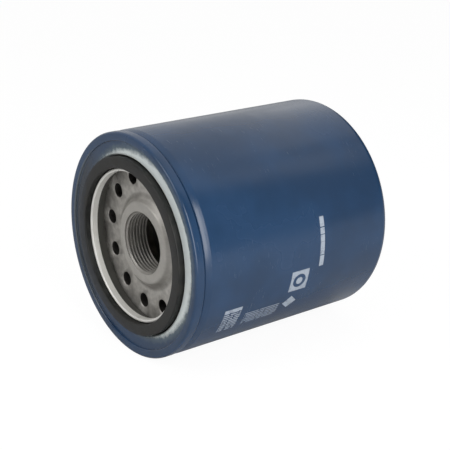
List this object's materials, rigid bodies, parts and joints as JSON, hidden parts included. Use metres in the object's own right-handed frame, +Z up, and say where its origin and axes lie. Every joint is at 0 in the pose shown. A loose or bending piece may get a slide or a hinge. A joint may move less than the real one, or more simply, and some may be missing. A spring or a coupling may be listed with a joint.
{
  "type": "oil filter",
  "caption": "Spin-on oil filter: drawn can with rolled seam, sealing gasket, threaded tapping plate with inlet holes, pleated element, drain valve, bypass valve and support spring.",
  "frame": {"origin": "centre of the bounding box, on the filter's axis, midway between the gasket's sealing face and the closed end", "axes": "+Y along the axis towards the closed end, -Y out of the sealing face, +Z up with the filter lying on its side"},
  "size_m": [0.093, 0.1014, 0.093],
  "materials": {
    "blue_paint": "semi-gloss enamel",
    "zinc_plate": "bare zinc-plated sheet",
    "phosphated_steel": "oiled phosphated plate",
    "end_cap_steel": "tinned sheet",
    "tube_steel": "perforated sheet",
    "spring_steel": "oil-tempered wire",
    "black_rubber": "moulded, lightly oiled",
    "membrane_rubber": "thin moulded nitrile",
    "seam_sealant": "cured bead",
    "plastisol": "cured potting",
    "filter_paper": "resin-treated pleated paper"
  },
  "bodies": {
    "housing": {"canister": "blue_paint", "retainer": "zinc_plate", "seam_compound": "seam_sealant", "sealing_gasket": "black_rubber", "tapping_plate": "phosphated_steel", "support_spring": "spring_steel"},
    "cartridge": {"lower_end_cap": "end_cap_steel", "upper_end_cap": "end_cap_steel", "lower_adhesive": "plastisol", "upper_adhesive": "plastisol", "filter_media": "filter_paper", "media_clip": "end_cap_steel", "centre_tube": "tube_steel", "bypass_seat": "end_cap_steel", "bypass_cage": "end_cap_steel", "bypass_spring": "spring_steel"},
    "bypass_valve": {"bypass_disc": "end_cap_steel", "bypass_seal": "black_rubber", "bypass_pin": "end_cap_steel"},
    "drain_valve": {"anti_drain_valve": "membrane_rubber"}
  },
  "joints": [
    {"name": "element_float", "type": "slide", "parent": "housing", "child": "cartridge", "axis": [0, 1, 0], "range_m": [0, 0.002], "stiffness_N_per_m": 8000, "springref_m": -0.008, "deforming": ["support_spring"]},
    {"name": "bypass_lift", "type": "slide", "parent": "cartridge", "child": "bypass_valve", "axis": [0, -1, 0], "range_m": [0, 0.003], "stiffness_N_per_m": 2500, "springref_m": -0.008, "deforming": ["bypass_spring"]},
    {"name": "drain_valve_lift", "type": "slide", "parent": "housing", "child": "drain_valve", "axis": [0, 1, 0], "range_m": [0, 0.0015], "stiffness_N_per_m": 400, "springref_m": -0.0005, "deforming": ["anti_drain_valve"]}
  ]
}
